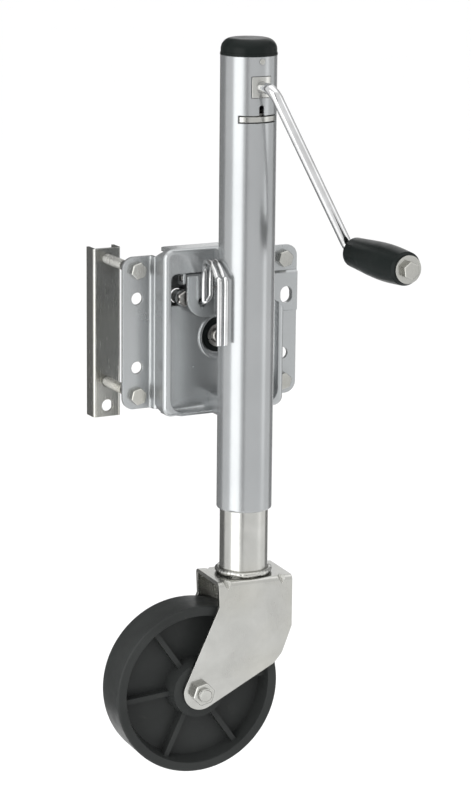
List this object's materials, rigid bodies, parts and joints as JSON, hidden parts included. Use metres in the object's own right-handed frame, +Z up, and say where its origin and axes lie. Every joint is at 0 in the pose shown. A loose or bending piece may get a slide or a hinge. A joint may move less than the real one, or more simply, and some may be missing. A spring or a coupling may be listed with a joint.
{
  "type": "trailer tongue jack",
  "caption": "Clamp-on swivel trailer jack: a side crank drives a lift tube with a caster wheel; the tube pivots on a bracket with a spring lock pin.",
  "frame": {"origin": "middle of the base bracket's mounting plane, where its flanges rest on the side of the trailer tongue", "axes": "+X along the tongue, +Y into the tongue, +Z up along the jack tube"},
  "size_m": [0.224, 0.3133, 0.6722],
  "materials": {
    "bracket_paint": "satin silver-grey paint",
    "tube_paint": "satin silver paint",
    "zinc": "bright zinc plate",
    "fastener_zinc": "bright zinc plate",
    "steel": "plain steel",
    "chrome": "bright nickel or chrome plate",
    "bronze": "plain bronze",
    "black_plastic": "satin black",
    "wheel_plastic": "satin dark grey-black",
    "bush_plastic": "natural nylon"
  },
  "bodies": {
    "base": {"base_bracket": "bracket_paint", "keeper_plate": "bracket_paint", "clamp_bolts": "fastener_zinc", "clamp_washers": "fastener_zinc", "clamp_nuts": "fastener_zinc", "clamp_bar_left": "zinc", "clamp_bar_right": "zinc", "pivot_rivet": "steel", "pivot_washer": "steel", "pivot_bushing": "black_plastic"},
    "swivel": {"swivel_pan": "bracket_paint", "saddle_upper": "bracket_paint", "saddle_lower": "bracket_paint", "hinge_ears": "bracket_paint", "lever_hinge_pin": "steel", "lock_guide": "bracket_paint", "outer_tube": "tube_paint", "tube_cap": "black_plastic", "cap_rivet": "fastener_zinc", "front_bushing": "zinc", "rear_bushing": "bronze", "retainer_plate": "zinc", "thrust_bearing": "steel"},
    "lever": {"lock_lever": "bracket_paint", "pull_handle": "chrome", "lever_spring": "steel"},
    "pin": {"lock_pin": "steel", "lock_cross_pin": "steel"},
    "crank": {"crank_bar": "chrome", "drive_pinion": "steel", "shaft_clip": "steel", "grip_screw": "fastener_zinc", "grip_washer": "fastener_zinc"},
    "handgrip": {"grip": "black_plastic"},
    "screw": {"lead_screw": "steel", "bevel_wheel": "steel", "gear_pin": "steel"},
    "lift": {"inner_tube": "zinc", "lead_nut": "bronze", "king_pin": "steel", "king_washer": "zinc"},
    "caster": {"caster_fork": "zinc", "axle_bolt": "fastener_zinc", "axle_nut": "fastener_zinc"},
    "roller": {"wheel": "wheel_plastic", "wheel_bushing": "bush_plastic"}
  },
  "joints": [
    {"name": "swivel_hinge", "type": "hinge", "parent": "base", "child": "swivel", "pos_m": [0, -0.018, -0.005], "axis": [0, 1, 0], "range_deg": [0, 90]},
    {"name": "lock_lever_hinge", "type": "hinge", "parent": "swivel", "child": "lever", "pos_m": [-0.026, -0.0285, 0.053], "axis": [-1, 0, 0], "range_deg": [0, 17.19], "stiffness_Nm_per_rad": 1, "springref_deg": -22.92},
    {"name": "lock_pin_slide", "type": "slide", "parent": "swivel", "child": "pin", "axis": [0, -1, 0], "range_m": [0, 0.006]},
    {"name": "crank_spin", "type": "hinge", "parent": "swivel", "child": "crank", "pos_m": [0, -0.0728, 0.2323], "axis": [0, 1, 0], "range_deg": [-6660, 36360]},
    {"name": "screw_spin", "type": "hinge", "parent": "swivel", "child": "screw", "pos_m": [0, -0.0728, 0.2], "axis": [0, 0, 1], "range_deg": [-18182, 3331]},
    {"name": "lift_slide", "type": "slide", "parent": "swivel", "child": "lift", "axis": [0, 0, -1], "range_m": [-0.03916, 0.2138]},
    {"name": "caster_swivel", "type": "hinge", "parent": "lift", "child": "caster", "pos_m": [0, -0.0728, -0.22], "axis": [0, 0, 1], "continuous": true},
    {"name": "wheel_spin", "type": "hinge", "parent": "caster", "child": "roller", "pos_m": [-0.05247, -0.06913, -0.3195], "axis": [0.0698, 0.9976, 0], "continuous": true},
    {"name": "grip_spin", "type": "hinge", "parent": "crank", "child": "handgrip", "pos_m": [0.07471, -0.18, 0.0863], "axis": [0, -1, 0], "continuous": true}
  ],
  "couplings": [
    {"joint": "lock_pin_slide", "follows": "lock_lever_hinge", "m_per_rad": 0.02},
    {"joint": "screw_spin", "follows": "crank_spin", "ratio": -0.5},
    {"joint": "lift_slide", "follows": "crank_spin", "m_per_rad": 0.00033688}
  ]
}
